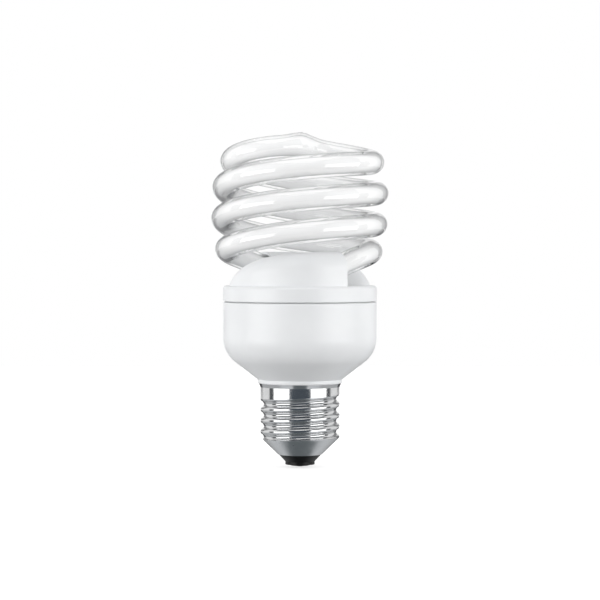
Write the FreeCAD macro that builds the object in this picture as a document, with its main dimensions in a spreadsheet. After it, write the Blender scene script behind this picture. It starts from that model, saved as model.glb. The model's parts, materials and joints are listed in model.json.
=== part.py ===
import FreeCAD, Part
import math
import os

import Sketcher
from FreeCAD import Rotation, Vector

# A spiral compact fluorescent lamp with an E27 screw cap, in millimetres.
# The origin is the tip of the centre contact, on the lamp's axis. +Z points up to the glass
# and -Y is the front. Angles run anticlockwise from +X, seen from above.
# Heights are stacked: the shoulder is measured from the neck's top, the board from the shoulder,
# the snap ring and the seam from the board's top, the holder's top from the seam, the coil's
# middle from the holder's top and the crown from the coil's middle. In the cap, the thread's start
# and the insulator's top are measured from the shell's foot, and the can from the insulator's top.
# The thread's end is measured down from the skirt, the fuse resistor's lower end down from the
# board and the shell lead's end down from the cap's rim.

doc = FreeCAD.newDocument("spiral_lamp")
sheet = doc.addObject("Spreadsheet::Sheet", "Sizes")

SIZES = {
    # Glass tube: a double right-hand helix that curls into a crown at the top.
    "tube_diameter": 7.8,
    "coil_radius": 25.2,
    "coil_lead": 20.4,
    "coil_middle": 26.2,
    "coil_lean_right": 2.0,
    "coil_lean_back": 3.5,
    "curl_angle": 147.0,
    "crown_height": 19.2,
    "crown_tip_rise": 1.2,
    "leg_bend_angle": 30.0,
    "leg_bend_span": 75.0,
    "leg_radius": 18.6,
    "leg_fall": 2.1,
    "leg_fall_angle": 18.0,
    "mouth_angle": -50.0,
    "leg_inside_span": 41.0,
    "exhaust_diameter": 2.8,
    "exhaust_length": 3.5,
    # Tube holder: the cover with two collars for the tube's legs.
    "holder_diameter": 50.8,
    "holder_top": 5.2,
    "plate_thickness": 1.5,
    "rim_round": 1.1,
    "collar_wall": 0.9,
    "collar_span": 138.0,
    "collar_room": 0.35,
    "tube_gap": 0.2,
    "lip_wall": 1.2,
    "snap_gap": 0.15,
    "snap_bead": 0.4,
    "snap_height": 3.3,
    "seam_height": 5.5,
    "seam_gap": 0.35,
    "cement_width": 1.5,
    "cement_span": 28.0,
    # Lower housing: bowl, cone and neck.
    "housing_diameter": 50.6,
    "housing_wall": 1.6,
    "shoulder_height": 8.8,
    "shoulder_round": 10.0,
    "neck_diameter": 28.0,
    "neck_height": 1.3,
    "neck_round": 0.4,
    "cone_thickness": 2.0,
    "spigot_length": 2.9,
    "spigot_wall": 1.6,
    "tab_count": 6,
    "tab_width": 1.5,
    "tab_height": 6.0,
    "tab_reach": 2.6,
    # Screw shell, insulator and centre contact of the cap.
    "cap_length": 27.6,
    "thread_diameter": 26.2,
    "thread_pitch": 3.629,
    "thread_depth": 1.1,
    "thread_land": 0.45,
    "thread_first": 3.95,
    "thread_last": 1.0,
    "thread_fade": 75.0,
    "shell_wall": 0.5,
    "shell_foot_diameter": 14.5,
    "shell_foot_height": 4.05,
    "shell_cone_rise": 5.7,
    "shell_round": 1.6,
    "shell_foot_round": 0.2,
    "shell_lip": 0.5,
    "shell_lip_height": 1.2,
    "skirt_height": 3.3,
    "fit_gap": 0.03,
    "insulator_diameter": 9.7,
    "insulator_height": 0.75,
    "insulator_land": 0.95,
    "insulator_top": 2.75,
    "insulator_hole": 2.0,
    "contact_diameter": 6.2,
    "contact_thickness": 0.4,
    "contact_hole": 1.2,
    "solder_diameter": 4.2,
    # Ballast board and the parts that hang from it into the cone and neck.
    "board_diameter": 46.4,
    "board_height": 9.8,
    "board_thickness": 1.6,
    "board_gap": 0.1,
    "standoff": 0.3,
    "lead_diameter": 0.6,
    "lead_hole_gap": 0.1,
    "lead_stub": 1.0,
    "can_diameter": 10.0,
    "can_length": 18.0,
    "can_bottom": 6.2,
    "can_groove": 0.5,
    "can_lead_pitch": 5.0,
    "choke_x": -11.0,
    "core_length": 14.0,
    "core_width": 16.0,
    "core_thickness": 4.8,
    "core_leg": 2.0,
    "bobbin_wall": 0.5,
    "bobbin_height": 11.0,
    "bobbin_flange": 0.8,
    "toroid_x": 9.0,
    "toroid_y": 6.9,
    "toroid_diameter": 9.0,
    "toroid_hole": 4.4,
    "toroid_height": 4.0,
    "toroid_wire": 0.5,
    "transistor_x": 16.5,
    "transistor_y": 3.6,
    "transistor_diameter": 4.8,
    "transistor_flat": 1.3,
    "transistor_height": 4.8,
    "transistor_legs": 2.4,
    "transistor_pitch": 1.27,
    "film_x": 3.0,
    "film_y": 14.2,
    "resonance_length": 11.0,
    "resonance_width": 4.6,
    "resonance_height": 9.0,
    "blocking_length": 9.0,
    "blocking_width": 4.0,
    "blocking_height": 8.0,
    "film_round": 0.7,
    "film_lead_inset": 1.8,
    "diode_x": -9.0,
    "diode_inner_y": 10.3,
    "diode_pitch": 3.6,
    "diode_diameter": 2.7,
    "diode_length": 5.2,
    "axial_lead_span": 10.0,
    "axial_bend": 0.9,
    "resistor_x": 3.2,
    "resistor_y": -6.0,
    "resistor_pitch": 3.0,
    "resistor_diameter": 2.3,
    "resistor_length": 6.2,
    "trigger_x": 9.6,
    "trigger_y": -3.4,
    "trigger_diameter": 1.9,
    "trigger_length": 3.8,
    "trigger_lead_span": 6.4,
    "drum_x": 12.4,
    "drum_y": -10.4,
    "drum_diameter": 6.4,
    "drum_height": 8.0,
    "drum_flange": 1.1,
    "drum_waist": 0.4,
    "drum_lead_pitch": 3.0,
    "fuse_x": 8.6,
    "fuse_y": 0.0,
    "fuse_diameter": 3.2,
    "fuse_length": 9.0,
    "fuse_bottom": 14.5,
    "wire_diameter": 0.7,
    "wire_bend": 2.0,
    "shell_lead_x": 1.0,
    "shell_lead_y": 9.5,
    "shell_lead_end": 9.1,
    "pin_side": 0.9,
    "pin_height": 4.5,
    "pin_x": 6.0,
    "pin_y": 17.0,
    "pin_pitch": 4.4,
    "stem_pitch": 3.6,
    "stem_wire": 0.5,
}


class Dim(float):
    """A size that remembers the sheet formula it was worked out with."""

    def __new__(cls, value, text):
        size = float.__new__(cls, value)
        size.text = text
        return size

    def __add__(self, other):
        return Dim(float(self) + float(other), f"({self.text} + {formula(other)})")

    def __radd__(self, other):
        return Dim(float(other) + float(self), f"({formula(other)} + {self.text})")

    def __sub__(self, other):
        return Dim(float(self) - float(other), f"({self.text} - {formula(other)})")

    def __rsub__(self, other):
        return Dim(float(other) - float(self), f"({formula(other)} - {self.text})")

    def __mul__(self, other):
        return Dim(float(self) * float(other), f"({self.text} * {formula(other)})")

    def __truediv__(self, other):
        return Dim(float(self) / float(other), f"({self.text} / {formula(other)})")

    def __neg__(self):
        return Dim(-float(self), f"(-1 * {self.text})")


def formula(size):
    return size.text if isinstance(size, Dim) else f"{float(size):.6f}"


def fill_sheet():
    sizes = {}
    for row, (name, value) in enumerate(SIZES.items(), 1):
        sheet.set(f"A{row}", name)
        sheet.set(f"B{row}", str(value))
        sheet.setAlias(f"B{row}", name)
    doc.recompute()
    for name in SIZES:
        sizes[name] = Dim(float(getattr(sheet, name)), f"Sizes.{name}")
    return type("Sizes", (), sizes)


S = fill_sheet()
TUBE_R = S.tube_diameter / 2
ZERO = Dim(0.0, "0")

NECK_TOP = S.cap_length + S.neck_height
SHOULDER = NECK_TOP + S.shoulder_height
BOARD = SHOULDER + S.board_height
BOARD_TOP = BOARD + S.board_thickness
SNAP = BOARD_TOP + S.snap_height
SEAM = BOARD_TOP + S.seam_height
HOLDER_TOP = SEAM + S.holder_top
COIL_MIDDLE = HOLDER_TOP + S.coil_middle
CROWN = COIL_MIDDLE + S.crown_height
INSULATOR_TOP = S.shell_foot_height + S.insulator_top
CAN_BOTTOM = INSULATOR_TOP + S.can_bottom
FUSE_BOTTOM = BOARD - S.fuse_bottom
SKIRT_FOOT = S.cap_length - S.skirt_height
THREAD_START = S.shell_foot_height + S.thread_first
THREAD_END = SKIRT_FOOT - S.thread_last


def bind(thing, **sizes):
    """Set properties and tie each one to its formula in the sheet."""
    for name, size in sizes.items():
        setattr(thing, name, float(size))
        if isinstance(size, Dim):
            thing.setExpression(name, size.text)
    return thing


def place(thing, x, y, z, turn=None):
    """Put an object at a place that follows the sheet, turned by a fixed rotation."""
    thing.Placement.Base = Vector(float(x), float(y), float(z))
    if turn:
        thing.Placement.Rotation = turn
    for axis, size in zip("xyz", (x, y, z)):
        if isinstance(size, Dim):
            thing.setExpression(f"Placement.Base.{axis}", size.text)
    return thing


def cylinder(name, diameter, height, x, y, z, turn=None):
    rod = doc.addObject("Part::Cylinder", name)
    bind(rod, Radius=diameter / 2, Height=height)
    return place(rod, x, y, z, turn)


def block(name, length, width, height, x, y, z):
    """A box centred on x and y that stands on z."""
    box = doc.addObject("Part::Box", name)
    bind(box, Length=length, Width=width, Height=height)
    return place(box, x - length / 2, y - width / 2, z)


def fused(name, pieces):
    union = doc.addObject("Part::MultiFuse", name)
    union.Shapes = pieces
    union.Label = name
    return union


def grouped(name, pieces):
    group = doc.addObject("Part::Compound", name)
    group.Links = pieces
    group.Label = name
    return group


def cut(name, base, tool):
    remainder = doc.addObject("Part::Cut", name)
    remainder.Base = base
    remainder.Tool = tool
    remainder.Label = name
    return remainder


def feature(name, shape):
    """A form that no ready feature makes, from sizes read out of the sheet."""
    solid = doc.addObject("Part::Feature", name)
    solid.Shape = shape
    solid.Label = name
    solid.Placement = FreeCAD.Placement()
    return solid


def new_body(name):
    body = doc.addObject("PartDesign::Body", name)
    body.Label = name
    return body


def origin(body, role):
    return next(item for item in body.Origin.OriginFeatures if item.Role == role)


def sketch_on(body, role, name):
    sketch = body.newObject("Sketcher::SketchObject", name)
    sketch.AttachmentSupport = [(origin(body, role), "")]
    sketch.MapMode = "FlatFace"
    return sketch


def fix(sketch, element, point, x, y):
    """Hold one point of a sketch at sizes from the sheet."""
    for kind, size in (("DistanceX", x), ("DistanceY", y)):
        index = sketch.addConstraint(Sketcher.Constraint(kind, -1, 1, element, point, float(size)))
        if isinstance(size, Dim):
            sketch.setExpression(f"Constraints[{index}]", size.text)


def outline(sketch, corners):
    """A closed outline of straight lines through corners that follow the sheet."""
    points = [Vector(float(x), float(y), 0) for x, y in corners]
    first = sketch.GeometryCount
    for start, end in zip(points, points[1:] + points[:1]):
        sketch.addGeometry(Part.LineSegment(start, end))
    for index, (x, y) in enumerate(corners):
        line = first + index
        previous = first + (index - 1) % len(corners)
        sketch.addConstraint(Sketcher.Constraint("Coincident", previous, 2, line, 1))
        fix(sketch, line, 1, x, y)


def circle(sketch, x, y, radius):
    element = sketch.addGeometry(Part.Circle(Vector(float(x), float(y), 0), Vector(0, 0, 1), float(radius)))
    fix(sketch, element, 3, x, y)
    index = sketch.addConstraint(Sketcher.Constraint("Radius", element, float(radius)))
    if isinstance(radius, Dim):
        sketch.setExpression(f"Constraints[{index}]", radius.text)


def turned(name, corners):
    """A body turned about the lamp's axis from an outline in radius and height."""
    body = new_body(name)
    sketch = sketch_on(body, "XZ_Plane", f"{name}_profile")
    outline(sketch, corners)
    turn = body.newObject("PartDesign::Revolution", f"{name}_turn")
    turn.Profile = sketch
    turn.ReferenceAxis = (sketch, ["V_Axis"])
    turn.Angle = 360
    doc.recompute()
    return body


def round_rings(body, name, radius, rings):
    """Round the ring edges that lie at the given radius and height."""
    shape = body.Tip.Shape
    found = []
    for ring_radius, height in rings:
        for number, edge in enumerate(shape.Edges, 1):
            box = edge.BoundBox
            flat = abs(box.ZMin - height) < 0.01 and abs(box.ZMax - height) < 0.01
            if flat and abs(box.XMax - ring_radius) < 0.01:
                found.append(f"Edge{number}")
    base = body.Tip
    fillet = body.newObject("PartDesign::Fillet", name)
    fillet.Base = (base, found)
    bind(fillet, Radius=radius)
    doc.recompute()
    return fillet


# Curves: chains of arcs in space, each one tangent to the next.

def arc_middle(start, direction, end):
    chord = end - start
    along = Vector(chord).normalize()
    cosine = max(-1.0, min(1.0, direction.dot(along)))
    side = (direction - along * cosine).normalize()
    return (start + end) * 0.5 + side * (chord.Length / 2 * math.tan(math.acos(cosine) / 2))


def arc_chain(curve, start, end, spans):
    """Join points on a curve with pairs of arcs that share its directions."""
    step = (end - start) / spans
    small = abs(step) * 1e-4
    marks = [start + step * index for index in range(spans + 1)]
    points = [curve(mark) for mark in marks]
    ahead = small if step > 0 else -small
    ways = [(curve(mark + ahead) - curve(mark - ahead)).normalize() for mark in marks]
    arcs = []
    for p, u, q, v in zip(points, ways, points[1:], ways[1:]):
        gap = q - p
        both = gap.dot(u + v)
        turn = 1 - u.dot(v)
        reach = (math.sqrt(both * both + 2 * turn * gap.dot(gap)) - both) / (2 * turn)
        joint = (p + u * reach + q - v * reach) * 0.5
        arcs.append(Part.Arc(p, arc_middle(p, u, joint), joint).toShape())
        arcs.append(Part.Arc(joint, arc_middle(q, v * -1, joint), q).toShape())
    return Part.Wire(arcs), ways[0]


def pipe(curve, start, end, spans, radius):
    path, way = arc_chain(curve, start, end, spans)
    ring = Part.Wire(Part.Circle(curve(start), way, float(radius)).toShape())
    return path.makePipe(Part.Face(ring))


def wire_path(points, bend):
    """Straight runs with rounded corners."""
    edges = []
    start = points[0]
    for before, corner, after in zip(points, points[1:], points[2:]):
        back = (before - corner).normalize()
        on = (after - corner).normalize()
        half = math.acos(max(-1.0, min(1.0, back.dot(on)))) / 2
        setback = bend / math.tan(half)
        middle_way = (back + on).normalize()
        middle = corner + middle_way * (bend / math.sin(half) - bend)
        edges.append(Part.LineSegment(start, corner + back * setback).toShape())
        edges.append(Part.Arc(corner + back * setback, middle, corner + on * setback).toShape())
        start = corner + on * setback
    edges.append(Part.LineSegment(start, points[-1]).toShape())
    return Part.Wire(edges)


def bent_wire(points, diameter, bend):
    path = wire_path(points, float(bend))
    ring = Part.Wire(Part.Circle(points[0], points[1] - points[0], float(diameter) / 2).toShape())
    return path.makePipe(Part.Face(ring))


def smooth(part):
    part = max(0.0, min(1.0, part))
    return part * part * (3 - 2 * part)


def half_turn(shape):
    copy = shape.copy()
    copy.rotate(Vector(0, 0, 0), Vector(0, 0, 1), 180)
    return copy


# Glass tube. One strand is worked out and the other is its half turn about the axis.
# A strand is measured from the crown: 0 to 1 is the curl, and then four units make a turn.

FRONT = 270.0
QUARTER = 90.0
CURL_MARK = 1.0


def strand_mark(angle):
    """The measure along a strand at which it stands at an angle, counted down from the curl."""
    return CURL_MARK + (S.curl_angle + 360.0 - angle) / QUARTER


MOUTH_MARK = strand_mark(S.mouth_angle)
END_MARK = strand_mark(S.mouth_angle - S.leg_inside_span)
BEND_MARK = strand_mark(S.leg_bend_angle)


def coil_height(angle):
    return float(COIL_MIDDLE) + S.coil_lead * (angle - FRONT) / 360.0


def strand_upright(mark):
    """A point on the strand as wound, before the coil's small lean."""
    if mark < CURL_MARK:
        lobe = S.coil_radius / 2
        start = math.radians(S.curl_angle)
        way = start + math.pi * (CURL_MARK - mark)
        low = coil_height(S.curl_angle + 360.0)
        rise = float(CROWN) - low
        run = math.pi * lobe * S.coil_lead / (2 * math.pi * S.coil_radius)
        part = 1 - mark
        height = low + rise * smooth(part) + run * part * (1 - part) ** 2
        x = lobe * (math.cos(start) + math.cos(way))
        y = lobe * (math.sin(start) + math.sin(way))
        return Vector(x, y, height)
    angle = S.curl_angle + 360.0 - (mark - CURL_MARK) * QUARTER
    inward = smooth((S.leg_bend_angle - angle) / S.leg_bend_span)
    radius = S.coil_radius + (S.leg_radius - S.coil_radius) * inward
    height = coil_height(angle)
    fall = (S.leg_fall_angle - angle) / (S.leg_fall_angle - S.mouth_angle)
    if fall > 1:
        height -= S.leg_fall * (2 * fall - 1)
    elif fall > 0:
        height -= S.leg_fall * fall * fall
    turn = math.radians(angle)
    return Vector(radius * math.cos(turn), radius * math.sin(turn), height)


def strand(mark):
    """The tube's centre line. Negative marks run down the other strand."""
    point = strand_upright(abs(mark))
    if mark < 0:
        point = Vector(-point.x, -point.y, point.z)
    hold = smooth((MOUTH_MARK - abs(mark)) / (MOUTH_MARK - BEND_MARK + 1.0))
    right = math.tan(math.radians(S.coil_lean_right)) * hold
    back = math.tan(math.radians(S.coil_lean_back)) * hold
    above = point.z - float(COIL_MIDDLE)
    fall = right * point.x + back * point.y
    return Vector(point.x + right * above, point.y + back * above, point.z - fall)


def end_way(mark):
    """The direction in which the tube's end points."""
    step = 0.001 if mark > 0 else -0.001
    return (strand(mark) - strand(mark - step)).normalize()


SPANS_PER_UNIT = 3


def tube_spans(length):
    return math.ceil(length * SPANS_PER_UNIT)


def make_glass_tube():
    """The bent tube, with its sealed ends, the stub at each end and the soft tip on the crown."""
    tube = pipe(strand, -END_MARK, END_MARK, tube_spans(2 * END_MARK), TUBE_R)
    crown = strand(0.0)
    pieces = [Part.makeSphere(TUBE_R, crown + Vector(0, 0, S.crown_tip_rise))]
    for mark in (-END_MARK, END_MARK):
        way = end_way(mark)
        root = strand(mark) - way * S.exhaust_diameter
        length = S.exhaust_length + S.exhaust_diameter
        pieces.append(Part.makeCylinder(S.exhaust_diameter / 2, length, root, way))
    return feature("glass_tube", tube.fuse(pieces))


# Tube holder.

HOLDER_R = S.holder_diameter / 2
PLATE_UNDER = HOLDER_TOP - S.plate_thickness
HOUSING_IN = S.housing_diameter / 2 - S.housing_wall
LIP_OUT = HOUSING_IN - S.snap_gap
LIP_IN = LIP_OUT - S.lip_wall
COLLAR_HALF = TUBE_R + S.collar_room + S.collar_wall
COLLAR_STEP = 15.0
HOLLOW_BEYOND = 22.5
BORE_WALLS = 4
CEMENT_BEYOND = 0.1


def collar_top(angle):
    """The ridge of a collar, from the tube's mouth down to the plate."""
    high = strand_upright(MOUTH_MARK).z + COLLAR_HALF
    along = (S.mouth_angle - angle) / S.collar_span
    return high - (high - HOLDER_TOP) * max(0.0, along) ** 3


def arch(angle, half_width, top, foot):
    """An upright arch across the leg's circle: two straight sides under a half circle."""
    turn = Rotation(Vector(0, 0, 1), angle)

    def at(offset, height):
        return turn.multVec(Vector(S.leg_radius + offset, 0, height))

    shoulder = top - half_width
    sides = [
        Part.LineSegment(at(-half_width, foot), at(-half_width, shoulder)),
        Part.Arc(at(-half_width, shoulder), at(0, top), at(half_width, shoulder)),
        Part.LineSegment(at(half_width, shoulder), at(half_width, foot)),
        Part.LineSegment(at(half_width, foot), at(-half_width, foot)),
    ]
    return Part.Wire([side.toShape() for side in sides])


def arch_ramp(inset, start, end, foot):
    """A loft of arches that follows the leg round and falls to the plate."""
    count = math.ceil((start - end) / COLLAR_STEP)
    angles = [start + (end - start) * index / count for index in range(count + 1)]
    arches = [arch(angle, COLLAR_HALF - inset, collar_top(angle) - inset, foot) for angle in angles]
    return Part.makeLoft(arches, True, False)


def make_tube_holder():
    bead = LIP_OUT + S.snap_bead
    seam = SEAM + S.seam_gap / 2
    plate = turned("holder_plate", [
        (ZERO, PLATE_UNDER),
        (LIP_IN, PLATE_UNDER),
        (LIP_IN, BOARD_TOP + S.board_gap),
        (LIP_OUT, BOARD_TOP + S.board_gap),
        (LIP_OUT, SNAP - S.snap_bead),
        (bead, SNAP),
        (LIP_OUT, SNAP + S.snap_bead),
        (LIP_OUT, seam),
        (HOLDER_R, seam),
        (HOLDER_R, HOLDER_TOP),
        (ZERO, HOLDER_TOP),
    ])
    round_rings(plate, "holder_rim", S.rim_round, [(HOLDER_R, HOLDER_TOP)])

    tail = S.mouth_angle - S.collar_span
    floor = PLATE_UNDER - S.tube_diameter * 2
    ramp = arch_ramp(0.0, S.mouth_angle, tail - COLLAR_STEP, floor)
    above = Part.makeCylinder(HOLDER_R, HOLDER_TOP, Vector(0, 0, HOLDER_TOP - S.plate_thickness / 2))
    ramp = ramp.common(above)
    ramps = feature("holder_collars", Part.makeCompound([ramp, half_turn(ramp)]))

    end_wall = math.degrees(S.collar_wall / S.leg_radius)
    hollow_end = S.mouth_angle - S.leg_inside_span - HOLLOW_BEYOND
    hollow = arch_ramp(S.collar_wall, S.mouth_angle - end_wall, hollow_end, floor)
    bore_start = strand_mark(S.mouth_angle + COLLAR_STEP)
    bore_end = strand_mark(S.mouth_angle - BORE_WALLS * end_wall)
    bore = pipe(strand_upright, bore_start, bore_end, 2, TUBE_R + S.tube_gap)
    hollows = feature("holder_hollows", Part.makeCompound([hollow, half_turn(hollow)]))
    bores = feature("holder_bores", Part.makeCompound([bore, half_turn(bore)]))
    hollow_holder = cut("holder_shell", fused("holder_solid", [plate, ramps]), hollows)
    return cut("tube_holder", hollow_holder, bores)


def make_tube_cement():
    """Silicone that fills the corner between each tube end and the plate's underside."""
    under = Part.makeCylinder(LIP_IN - S.fit_gap, PLATE_UNDER)
    start = strand_mark(S.mouth_angle - S.leg_inside_span + S.cement_span)
    beads = []
    for side in (1, -1):
        around = pipe(strand, side * start, side * END_MARK, 2, TUBE_R + S.cement_width)
        before = side * (start - CEMENT_BEYOND)
        beyond = side * (END_MARK + CEMENT_BEYOND)
        tube = pipe(strand, before, beyond, 2, TUBE_R + S.fit_gap)
        beads.append(around.cut(tube).common(under))
    return feature("tube_cement", Part.makeCompound(beads))


# Lower housing.

HOUSING_R = S.housing_diameter / 2
NECK_R = S.neck_diameter / 2
SHELL_R = S.thread_diameter / 2
SKIRT_BORE = SHELL_R - S.shell_wall
SPIGOT_R = SKIRT_BORE - S.fit_gap
SPIGOT_IN = SPIGOT_R - S.spigot_wall
CONE_SLOPE = (SHOULDER - NECK_TOP) / (HOUSING_R - NECK_R)


def make_lower_housing():
    rim = SEAM - S.seam_gap / 2
    inner_shoulder = SHOULDER - S.housing_wall * CONE_SLOPE + S.cone_thickness
    inner_foot = NECK_TOP - (NECK_R - SPIGOT_IN) * CONE_SLOPE + S.cone_thickness
    groove = HOUSING_IN + S.snap_bead
    body = turned("lower_housing", [
        (SPIGOT_IN, S.cap_length - S.spigot_length),
        (SPIGOT_R, S.cap_length - S.spigot_length),
        (SPIGOT_R, S.cap_length),
        (NECK_R, S.cap_length),
        (NECK_R, NECK_TOP),
        (HOUSING_R, SHOULDER),
        (HOUSING_R, rim),
        (HOUSING_IN, rim),
        (HOUSING_IN, SNAP + S.snap_bead),
        (groove, SNAP),
        (HOUSING_IN, SNAP - S.snap_bead),
        (HOUSING_IN, inner_shoulder),
        (SPIGOT_IN, inner_foot),
    ])
    round_rings(body, "shoulder", S.shoulder_round, [(HOUSING_R, SHOULDER)])
    inner_round = S.shoulder_round - S.housing_wall
    round_rings(body, "inner_shoulder", inner_round, [(HOUSING_IN, inner_shoulder)])
    round_rings(body, "neck_edge", S.neck_round, [(NECK_R, S.cap_length), (HOUSING_R, rim)])

    # Tabs inside the wall carry the board.
    sketch = sketch_on(body, "XZ_Plane", "tab_profile")
    tab_in = HOUSING_IN - S.tab_reach
    tab_out = HOUSING_IN + S.housing_wall / 2
    outline(sketch, [
        (tab_in, BOARD),
        (tab_in, BOARD - S.tab_height + S.tab_reach),
        (tab_out, BOARD - S.tab_height),
        (tab_out, BOARD),
    ])
    tab = body.newObject("PartDesign::Pad", "tab")
    tab.Profile = sketch
    tab.Midplane = True
    bind(tab, Length=S.tab_width)
    doc.recompute()
    ring = body.newObject("PartDesign::PolarPattern", "tabs")
    ring.Originals = [tab]
    ring.Axis = (origin(body, "Z_Axis"), [""])
    ring.Angle = 360
    ring.Occurrences = int(S.tab_count)
    ring.setExpression("Occurrences", S.tab_count.text)
    body.Tip = ring
    doc.recompute()
    return body


# Cap.

FOOT_R = S.shell_foot_diameter / 2
SHELL_CONE_TOP = S.shell_foot_height + S.shell_cone_rise
SHELL_SLOPE = S.shell_cone_rise / (SHELL_R - FOOT_R)
BORE_R = SHELL_R - S.thread_depth - S.shell_wall
FOOT_BORE = FOOT_R - S.shell_wall
CREST_EDGE = 15.0
THREAD_SPANS = 12
RUN_OUT = 1.3


def thread_curve(mark):
    """The groove's centre line, in turns. It rises out of the wall at its upper end."""
    turns = (THREAD_END - THREAD_START) / S.thread_pitch
    fade = S.thread_fade / 360.0
    out = smooth((mark - turns + fade) / fade) * S.thread_depth * RUN_OUT
    way = 2 * math.pi * mark
    height = THREAD_START + S.thread_pitch * mark
    return Vector((SHELL_R + out) * math.cos(way), (SHELL_R + out) * math.sin(way), height)


def make_thread_groove():
    """The cutter of the knuckle thread: a round root that flows into round crests."""
    turns = (THREAD_END - THREAD_START) / S.thread_pitch
    path, way = arc_chain(thread_curve, 0.0, float(turns), math.ceil(turns * THREAD_SPANS))
    half_width = (S.thread_pitch - S.thread_land) / 2
    depth = float(S.thread_depth)
    edge = math.radians(CREST_EDGE)
    reach = depth * math.sin(edge) + half_width * (1 + math.cos(edge))
    flank = math.atan2(depth, half_width) + math.acos(reach / (2 * math.hypot(half_width, depth)))
    rounding = half_width / (2 * math.sin(flank) - math.sin(edge))
    root = SHELL_R - depth
    clear = SHELL_R + depth

    def at(radius, height):
        return Vector(radius, 0, THREAD_START + height)

    def on_root(angle):
        return root + rounding * (1 - math.cos(angle)), rounding * math.sin(angle)

    def on_crest(angle):
        out = root + rounding * (1 + math.cos(angle) - 2 * math.cos(flank))
        return out, rounding * (2 * math.sin(flank) - math.sin(angle))

    turn_in, turn_in_height = on_root(flank)
    crest, crest_height = on_crest((flank + edge) / 2)
    sides = [
        Part.Arc(at(SHELL_R, half_width), at(crest, crest_height), at(turn_in, turn_in_height)),
        Part.Arc(at(turn_in, turn_in_height), at(root, 0), at(turn_in, -turn_in_height)),
        Part.Arc(at(turn_in, -turn_in_height), at(crest, -crest_height), at(SHELL_R, -half_width)),
        Part.LineSegment(at(SHELL_R, -half_width), at(clear, -half_width)),
        Part.LineSegment(at(clear, -half_width), at(clear, half_width)),
        Part.LineSegment(at(clear, half_width), at(SHELL_R, half_width)),
    ]
    profile = Part.Wire([side.toShape() for side in sides])
    sweep = Part.BRepOffsetAPI.MakePipeShell(path)
    sweep.setBiNormalMode(Vector(0, 0, 1))
    sweep.add(profile)
    sweep.build()
    sweep.makeSolid()
    return feature("thread_groove", sweep.shape())


def make_screw_shell():
    inner_cone_top = S.shell_foot_height + (BORE_R - FOOT_BORE) * SHELL_SLOPE
    lip_r = SHELL_R + S.shell_lip
    blank = turned("shell_blank", [
        (FOOT_BORE, S.shell_foot_height),
        (FOOT_R, S.shell_foot_height),
        (SHELL_R, SHELL_CONE_TOP),
        (SHELL_R, S.cap_length - S.shell_lip_height),
        (lip_r, S.cap_length),
        (SKIRT_BORE, S.cap_length),
        (SKIRT_BORE, SKIRT_FOOT),
        (BORE_R, SKIRT_FOOT - S.thread_depth),
        (BORE_R, inner_cone_top),
    ])
    round_rings(blank, "shell_shoulder", S.shell_round, [(SHELL_R, SHELL_CONE_TOP)])
    round_rings(blank, "shell_foot_edge", S.shell_foot_round, [(FOOT_R, S.shell_foot_height)])
    return cut("screw_shell", blank, make_thread_groove())


def make_cap_insulator():
    inner_top = FOOT_BORE + (INSULATOR_TOP - S.shell_foot_height) / SHELL_SLOPE - S.fit_gap * 2
    hole = S.insulator_hole / 2
    low = S.insulator_diameter / 2
    top = S.shell_foot_height - S.fit_gap
    return turned("cap_insulator", [
        (hole, S.insulator_height),
        (low, S.insulator_height),
        (low, S.insulator_height + S.insulator_land),
        (FOOT_R - S.shell_foot_round, top),
        (FOOT_BORE - S.fit_gap * 2, top),
        (inner_top, INSULATOR_TOP),
        (hole, INSULATOR_TOP),
    ])


def make_centre_contact():
    under = S.insulator_height - S.contact_thickness
    hole = S.contact_hole / 2
    edge = S.contact_diameter / 2
    body = turned("centre_contact", [
        (hole, under),
        (edge, under),
        (edge, S.insulator_height),
        (hole, S.insulator_height),
    ])
    round_rings(body, "contact_edge", S.contact_thickness / 2, [(edge, under)])
    return body


def make_contact_solder():
    """A shallow dome of solder that ends at the lamp's tip."""
    under = S.insulator_height - S.contact_thickness
    reach = S.solder_diameter / 2
    ball = (reach * reach + under * under) / (under * 2)
    dome = doc.addObject("Part::Sphere", "solder_ball")
    bind(dome, Radius=ball)
    place(dome, ZERO, ZERO, ball)
    slab = cylinder("solder_slab", S.solder_diameter * 2, under, ZERO, ZERO, ZERO)
    both = doc.addObject("Part::MultiCommon", "contact_solder")
    both.Shapes = [dome, slab]
    both.Label = "contact_solder"
    return both


# Ballast. Each part hangs under the board by leads that pass through its holes.

holes = []


def lead(name, x, y, bottom):
    holes.append((x, y, S.lead_diameter / 2 + S.lead_hole_gap))
    return cylinder(name, S.lead_diameter, BOARD_TOP + S.lead_stub - bottom, x, y, bottom)


def make_smoothing_capacitor():
    radius = S.can_diameter / 2
    top = CAN_BOTTOM + S.can_length
    groove = top - S.can_groove * 4
    waist = radius - S.can_groove
    can = turned("capacitor_can", [
        (ZERO, CAN_BOTTOM),
        (radius, CAN_BOTTOM),
        (radius, groove - S.can_groove),
        (waist, groove),
        (radius, groove + S.can_groove),
        (radius, top),
        (ZERO, top),
    ])
    round_rings(can, "can_edges", S.can_groove, [(radius, CAN_BOTTOM), (radius, top)])
    half = S.can_lead_pitch / 2
    leads = [lead(f"can_lead_{side}", half * side, ZERO, top - S.can_groove) for side in (-1, 1)]
    return fused("smoothing_capacitor", [can] + leads)


BOBBIN_TOP = BOARD - S.standoff
CHOKE_MIDDLE = BOBBIN_TOP - S.bobbin_height / 2
CORE_WINDOW = S.core_length - S.core_leg * 2
CORE_GAP = (S.core_width - S.core_leg * 4) / 2
BOBBIN_LENGTH = CORE_WINDOW - S.fit_gap * 2
BOBBIN_HOLE_W = S.core_leg * 2 + S.fit_gap * 2
BOBBIN_HOLE_H = S.core_thickness + S.fit_gap * 2
BOBBIN_WIDTH = S.core_leg * 2 + CORE_GAP * 2 - S.bobbin_wall
PIN_SHARE = 0.7


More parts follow.
